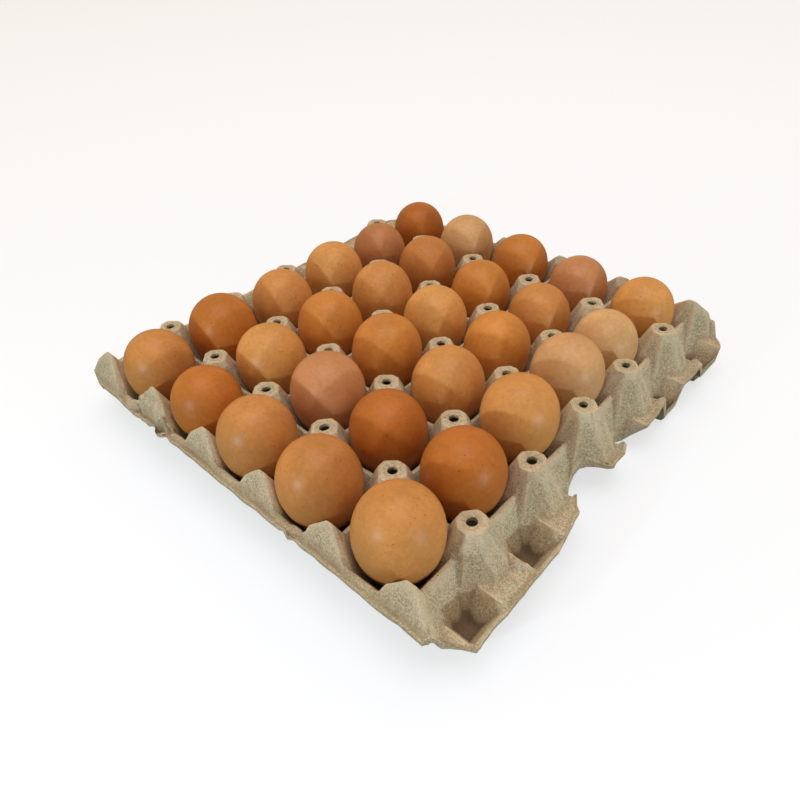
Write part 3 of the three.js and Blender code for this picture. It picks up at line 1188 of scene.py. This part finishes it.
@dataclass(frozen=True)
class PulpFinish:
    """Moulded recycled paper: felted, faintly blotched, dark-specked, with a painted highlight (and some
    wear) on its edges and painted shade in folds and troughs.

    Attributes:
        base: Colour of the pulp.
        warm: Colour of its warmer blotches.
        fibre: Colour of the darker fibres.
        speck: Colour of the specks.
        crest_wear_and_highlight: Colour of the edges: a painted highlight where rounded edges catch the
            light, with some wear.
        painted_fold_shade: Painted shade in the folds.
        painted_low_shade: Painted shade at the bottom of the open troughs.
    """

    base: tuple = colour(0.560, 0.505, 0.385)
    warm: tuple = colour(0.590, 0.500, 0.385)
    fibre: tuple = colour(0.200, 0.165, 0.115)
    speck: tuple = colour(0.110, 0.085, 0.058)
    crest_wear_and_highlight: tuple = colour(0.700, 0.610, 0.480)
    painted_fold_shade: tuple = colour(0.320, 0.240, 0.155)
    painted_low_shade: tuple = colour(0.150, 0.105, 0.062)

    def build(self, groups: Groups) -> bpy.types.Material:
        """Builds the material.

        Args:
            groups: The shared node groups.

        Returns:
            The material.
        """
        material, tree, shader, place = new_material("moulded_pulp")
        blotch = tree.ramp(tree.noise(place, scale=55.0, detail=4.0, roughness=0.6), 0.4, 0.62)
        body = tree.mix(blotch, self.base, self.warm)
        fine = tree.noise(place, scale=1050.0, detail=2.0, roughness=0.7)
        grain = tree.ramp(fine, 0.35, 0.66, to_low=0.68, to_high=1.18)
        shaded = tree.add("ShaderNodeVectorMath", operation="SCALE")
        tree.link(body, shaded.inputs[0])
        tree.link(grain, shaded.inputs["Scale"])
        # The edge attribute carries painted light: highlight on outward edges with some wear, shade in
        # folds and grooves, deepest shade in the troughs.
        edge = tree.add("ShaderNodeAttribute", attribute_name="edge")
        # Painted highlight on outward edges, with some wear.
        wear_and_highlight_share = tree.ramp(edge.outputs["Fac"], 0.12, 0.8, to_high=0.55)
        # Painted shade in valleys and folds.
        fold_shade_share = tree.ramp(edge.outputs["Fac"], -0.1, -1.2, to_high=0.45)
        # Painted shade at the bottom of the troughs, and in the darkest folds.
        low_shade_share = tree.ramp(edge.outputs["Fac"], -1.2, -2.8, to_high=0.8)
        body = tree.mix(wear_and_highlight_share, shaded.outputs[0], self.crest_wear_and_highlight)
        body = tree.mix(fold_shade_share, body, self.painted_fold_shade)
        body = tree.mix(low_shade_share, body, self.painted_low_shade)
        fibres = groups.place(tree, groups.fibres, place, scale=420.0, width=0.035)
        body = tree.mix(tree.math("MULTIPLY", fibres.outputs["Mask"], 0.65), body, self.fibre)
        specks = groups.place(tree, groups.specks, place, scale=620.0, share=0.24, size=0.30)
        body = tree.mix(tree.math("MULTIPLY", specks.outputs["Mask"], 0.75), body, self.speck)
        tree.link(body, shader.inputs["Base Color"])
        shader.inputs["Roughness"].default_value = 0.94
        shader.inputs["Specular IOR Level"].default_value = 0.18
        bump = tree.add("ShaderNodeBump", strength=0.55, distance=0.0006)
        felt = tree.noise(place, scale=900.0, detail=3.0, roughness=0.6)
        rough = tree.math("ADD", fibres.outputs["Height"], felt)
        tree.link(rough, bump.inputs["Height"])
        tree.link(bump.outputs["Normal"], shader.inputs["Normal"])
        return material


@dataclass(frozen=True)
class ShellFinish:
    """Eggshell: a tint with soft mottling, small freckles, fine pores and a satin surface.

    Attributes:
        base: Colour of the shell.
        freckle: Colour of the freckles.
        freckled: Share of the cells that hold a freckle.
        depth_step: How much one step of depth adds to red, green and blue.
    """

    base: tuple
    freckle: tuple
    freckled: float = 0.26
    depth_step: tuple[float, float, float] = (0.055, 0.085, 0.10)

    def build(self, tint: ShellTint, groups: Groups) -> bpy.types.Material:
        """Builds the material of one tint.

        Args:
            tint: The tint, for the material's name.
            groups: The shared node groups.

        Returns:
            The material.
        """
        material, tree, shader, place = new_material(f"eggshell_{tint.value}")
        broad = tree.noise(place, scale=38.0, detail=3.0, roughness=0.55)
        clouds = tree.ramp(broad, 0.3, 0.7, to_low=0.90, to_high=1.10)
        fine = tree.noise(place, scale=420.0, detail=3.0, roughness=0.6)
        mottle = tree.ramp(fine, 0.32, 0.7, to_low=0.94, to_high=1.07)
        depth = tree.add("ShaderNodeAttribute", attribute_name="depth")
        step = tree.add("ShaderNodeVectorMath", operation="MULTIPLY_ADD")
        tree.link(depth.outputs["Fac"], step.inputs[0])
        step.inputs[1].default_value = self.depth_step
        step.inputs[2].default_value = (1.0, 1.0, 1.0)
        body = tree.add("ShaderNodeVectorMath", operation="MULTIPLY")
        tree.link(step.outputs[0], body.inputs[0])
        body.inputs[1].default_value = self.base[:3]
        shaded = tree.add("ShaderNodeVectorMath", operation="SCALE")
        tree.link(body.outputs[0], shaded.inputs[0])
        tree.link(tree.math("MULTIPLY", clouds, mottle), shaded.inputs["Scale"])
        freckles = groups.place(tree, groups.specks, place, scale=640.0, share=self.freckled, size=0.36)
        patch = tree.ramp(tree.noise(place, scale=45.0, detail=1.0), 0.36, 0.54)
        spots = tree.math("MULTIPLY", tree.math("MULTIPLY", freckles.outputs["Mask"], patch), 0.62)
        tree.link(tree.mix(spots, shaded.outputs[0], self.freckle), shader.inputs["Base Color"])
        tree.link(tree.ramp(mottle, 0.94, 1.07, to_low=0.36, to_high=0.48), shader.inputs["Roughness"])
        shader.inputs["Specular IOR Level"].default_value = 0.28
        bump = tree.add("ShaderNodeBump", strength=0.25, distance=0.00025)
        pores = tree.noise(place, scale=1300.0, detail=2.0, roughness=0.6)
        tree.link(pores, bump.inputs["Height"])
        tree.link(bump.outputs["Normal"], shader.inputs["Normal"])
        return material


SHELLS: dict[ShellTint, ShellFinish] = {
    ShellTint.TAN: ShellFinish(colour(0.59, 0.275, 0.090), colour(0.25, 0.085, 0.025)),
    ShellTint.ORANGE: ShellFinish(colour(0.55, 0.215, 0.050), colour(0.20, 0.06, 0.018)),
    ShellTint.BROWN: ShellFinish(colour(0.56, 0.245, 0.080), colour(0.19, 0.07, 0.025)),
    ShellTint.RED: ShellFinish(colour(0.47, 0.155, 0.030), colour(0.13, 0.035, 0.013)),
    ShellTint.PINK: ShellFinish(colour(0.53, 0.240, 0.116), colour(0.21, 0.08, 0.045), 0.08),
    ShellTint.PALE: ShellFinish(colour(0.61, 0.360, 0.185), colour(0.33, 0.15, 0.06), 0.08),
}


# The carton's parts


TINT_ROWS = (
    "tan red brown brown tan",
    "red tan pink red red",
    "brown orange orange brown tan",
    "tan brown tan orange pale",
    "pink brown orange brown pale",
    "red pale orange pink tan",
)

DEPTH_ROWS = (
    "-2 1 0 -1 -1",
    "1 1 0 -1 -1",
    "1 0 0 2 0",
    "1 1 2 2 -1",
    "-2 -3 0 0 1",
    "-2 0 -2 0 1",
)

LEAN_ROWS = (
    ". . SW SW NE",
    "S S E S E",
    ". . NE E N",
    "E N . N N",
    "E N E . W",
    ". . E E .",
)

SWELLINGS = (
    Swelling(x=-2.5 * PITCH, y=-3.0 * PITCH, lift=4.0, spread=1.1 * PITCH),
    Swelling(x=2.5 * PITCH, y=0.0, lift=4.0, spread=0.7 * PITCH),
)

TEARS = (
    Tear(x=3.15 * PITCH, y=-0.40 * PITCH, half_x=0.455 * PITCH, half_y=0.31 * PITCH),
    Tear(x=3.15 * PITCH, y=-0.60 * PITCH, half_x=0.25 * PITCH, half_y=0.28 * PITCH),
    Tear(x=3.15 * PITCH, y=0.50 * PITCH, half_x=0.435 * PITCH, half_y=0.28 * PITCH),
    Tear(x=3.15 * PITCH, y=0.90 * PITCH, half_x=0.15 * PITCH, half_y=2.30 * PITCH),
    Tear(x=3.15 * PITCH, y=-3.15 * PITCH, half_x=0.32 * PITCH, half_y=0.37 * PITCH),
)

CRUMPLES = (
    Crumple(x=-61.0, y=-150.0, spread=10.0, throw=2.4),
    Crumple(x=56.0, y=-150.5, spread=7.0, throw=1.9),
    Crumple(x=-86.0, y=-150.0, spread=8.0, throw=2.2),
)

CORNER_RADII = {(1, -1): 6.0, (1, 1): 30.0, (-1, 1): 16.0, (-1, -1): 30.0}


@dataclass
class EggCarton:
    """The tray and its thirty eggs.

    Attributes:
        sizes: The tray's driving sizes.
        groups: The node groups that the finishes share.
    """

    sizes: TraySizes
    groups: Groups

    def build_tray(self) -> bpy.types.Object:
        """Builds the pulp tray and gives it its finish."""
        tray = PulpTray(self.sizes, Mould(self.sizes, SWELLINGS), TEARS, CRUMPLES, CORNER_RADII).build()
        tray.data.materials.append(PulpFinish().build(self.groups))
        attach(tray, "root")
        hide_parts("tray")
        return tray

    def build_eggs(self) -> list[bpy.types.Object]:
        """Builds the eggs, row by row from the front, each in its tint's finish."""
        materials = {tint: finish.build(tint, self.groups) for tint, finish in SHELLS.items()}
        eggs = []
        for row, tokens in enumerate(zip(TINT_ROWS, DEPTH_ROWS, LEAN_ROWS), start=1):
            for column, (tint_name, depth, lean) in enumerate(zip(*map(str.split, tokens)), start=1):
                tint = ShellTint(tint_name)
                node = f"egg_r{row}_c{column}"
                egg = EggPiece(node, tint, int(depth), Lean.towards(lean)).build()
                egg.data.materials.append(materials[tint])
                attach(egg, "root")
                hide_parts(node)
                eggs.append(egg)
        return eggs


# Studio


def direction(azimuth: float, elevation: float) -> Vector:
    """Unit vector towards a place round the tray, from the front towards +X and up from the table."""
    across = math.cos(elevation)
    return Vector((math.sin(azimuth) * across, -math.cos(azimuth) * across, math.sin(elevation)))


@dataclass(frozen=True)
class View:
    """The photograph's viewpoint.

    Attributes:
        azimuth: Angle of the camera round the tray, from the front towards +X.
        elevation: Angle above the table.
        roll: Tilt of the camera about its own axis.
        distance: Distance from the aimed point, in metres.
        aim: The aimed point, in metres.
        lens: Focal length in millimetres, on a sensor 36 mm wide.
    """

    azimuth: float = math.radians(43.794)
    elevation: float = math.radians(40.721)
    roll: float = math.radians(-2.905)
    distance: float = 7.187 * 0.049
    aim: tuple[float, float, float] = (0.840 * 0.049, -1.145 * 0.049, 0.044)
    lens: float = 28.58

    def build(self) -> bpy.types.Object:
        """Adds the camera and makes it the scene's own.

        Returns:
            The camera.
        """
        back = direction(self.azimuth, self.elevation)
        right = Vector((math.cos(self.azimuth), math.sin(self.azimuth), 0.0))
        up = back.cross(right)
        across = right * math.cos(self.roll) + up * math.sin(self.roll)
        upward = up * math.cos(self.roll) - right * math.sin(self.roll)
        data = bpy.data.cameras.new("camera")
        data.sensor_width = 36.0
        data.lens = self.lens
        data.clip_start = 0.01
        camera = bpy.data.objects.new("camera", data)
        turn = Matrix((across, upward, back)).transposed().to_4x4()
        camera.matrix_world = Matrix.Translation(Vector(self.aim) + back * self.distance) @ turn
        bpy.context.scene.collection.objects.link(camera)
        bpy.context.scene.camera = camera
        return camera


@dataclass(frozen=True)
class Softbox:
    """A square area light aimed at the tray.

    Attributes:
        name: Name of the light.
        azimuth: Where it stands round the tray, in degrees from the front towards +X.
        elevation: Its angle above the table in degrees.
        power: Its power in watts.
        size: Its side in metres.
        tint: Its colour.
        distance: Its distance from the tray in metres.
    """

    name: str
    azimuth: float
    elevation: float
    power: float
    size: float
    tint: tuple[float, float, float]
    distance: float

    def build(self) -> bpy.types.Object:
        """Adds the light.

        Returns:
            The light's object.
        """
        back = direction(math.radians(self.azimuth), math.radians(self.elevation))
        data = bpy.data.lights.new(self.name, "AREA")
        data.energy = self.power
        data.size = self.size
        data.color = self.tint
        light = bpy.data.objects.new(self.name, data)
        turn = back.to_track_quat("Z", "Y").to_matrix().to_4x4()
        light.matrix_world = Matrix.Translation(back * self.distance) @ turn
        bpy.context.scene.collection.objects.link(light)
        return light


LIGHTS = (
    Softbox("left_lamp", azimuth=0.0, elevation=16.0, power=1.25, size=0.04,
            tint=(0.80, 1.0, 1.0), distance=0.7),
    Softbox("right_lamp", azimuth=84.0, elevation=9.0, power=1.95, size=0.05,
            tint=(0.80, 1.0, 1.0), distance=0.9),
    Softbox("top_softbox", azimuth=44.0, elevation=86.0, power=14.5, size=1.4,
            tint=(1.0, 0.88, 0.90), distance=1.9),
)


@dataclass(frozen=True)
class Studio:
    """A pale floor in a bright tent that is open, and so darker, on the camera's side.

    Attributes:
        floor_size: Side of the floor in metres.
        floor_tint: Colour of the floor.
        floor_glow: How much paler the camera sees it than the light on it makes it.
        floor_bounce: Colour of the floor as it lights the tray from below.
        sky: Colour of the light from all round.
        sky_strength: Its strength.
        open_side: Azimuth of the tent's open side, in degrees.
        open_share: Share of the light that is left there.
    """

    floor_size: float = 12.0
    floor_tint: tuple = colour(0.30, 0.34, 0.44)
    floor_glow: float = 0.66
    floor_bounce: tuple = colour(0.22, 0.215, 0.205)
    sky: tuple = colour(1.0, 0.80, 0.45)
    sky_strength: float = 0.76
    open_side: float = 44.0
    open_share: float = 0.12

    def build(self) -> None:
        """Adds the floor, the tent's light and the softboxes, and a plain colour transform."""
        self.build_floor()
        self.build_tent()
        for softbox in LIGHTS:
            softbox.build()
        bpy.context.scene.view_settings.view_transform = "Standard"

    def build_floor(self) -> None:
        """Adds the floor, which the camera sees paler than it lights the tray."""
        half = self.floor_size / 2 / METRE
        corners = np.array([[-half, -half, 0.0], [half, -half, 0.0], [half, half, 0.0], [-half, half, 0.0]])
        floor = make_object("floor", corners, [np.array([[0, 1, 2, 3]])])
        material, tree, shader, _ = new_material("floor_paper")
        rays = tree.add("ShaderNodeLightPath")
        seen = tree.mix(rays.outputs["Is Camera Ray"], self.floor_bounce, self.floor_tint)
        tree.link(seen, shader.inputs["Base Color"])
        tree.link(tree.math("MULTIPLY", rays.outputs["Is Camera Ray"], self.floor_glow),
                  shader.inputs["Emission Strength"])
        shader.inputs["Emission Color"].default_value = (1.0, 1.0, 1.0, 1.0)
        shader.inputs["Roughness"].default_value = 0.9
        floor.data.materials.append(material)

    def build_tent(self) -> None:
        """Adds the light from all round, weaker towards the open side."""
        world = bpy.data.worlds.new("tent")
        world.use_nodes = True
        tree = NodeTree(world.node_tree)
        output = tree.add("ShaderNodeOutputWorld")
        glow = tree.add("ShaderNodeBackground")
        tree.link(glow.outputs[0], output.inputs["Surface"])
        place = tree.add("ShaderNodeTexCoord")
        facing = tree.add("ShaderNodeVectorMath", operation="DOT_PRODUCT")
        tree.link(place.outputs["Generated"], facing.inputs[0])
        facing.inputs[1].default_value = direction(math.radians(self.open_side), 0.0)
        weakest = self.sky_strength * self.open_share
        lit = tree.ramp(facing.outputs["Value"], 0.0, 1.0, self.sky_strength, weakest)
        tree.link(lit, glow.inputs["Strength"])
        glow.inputs["Color"].default_value = self.sky
        bpy.context.scene.world = world


def main() -> None:
    """Loads the construction model, builds the camera, the studio and the carton, and keeps the model's
    parts, hidden.
    """
    logging.basicConfig(level=logging.INFO, format="%(name)s: %(message)s")
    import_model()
    View().build()
    Studio().build()
    carton = EggCarton(TraySizes(), Groups())
    tray = carton.build_tray()
    LOG.info("%s: %d vertices", tray.name, len(tray.data.vertices))
    for egg in carton.build_eggs():
        LOG.info("%s in %s", egg.name, egg.data.materials[0].name)
    bpy.context.view_layer.update()


if __name__ == "__main__":
    main()
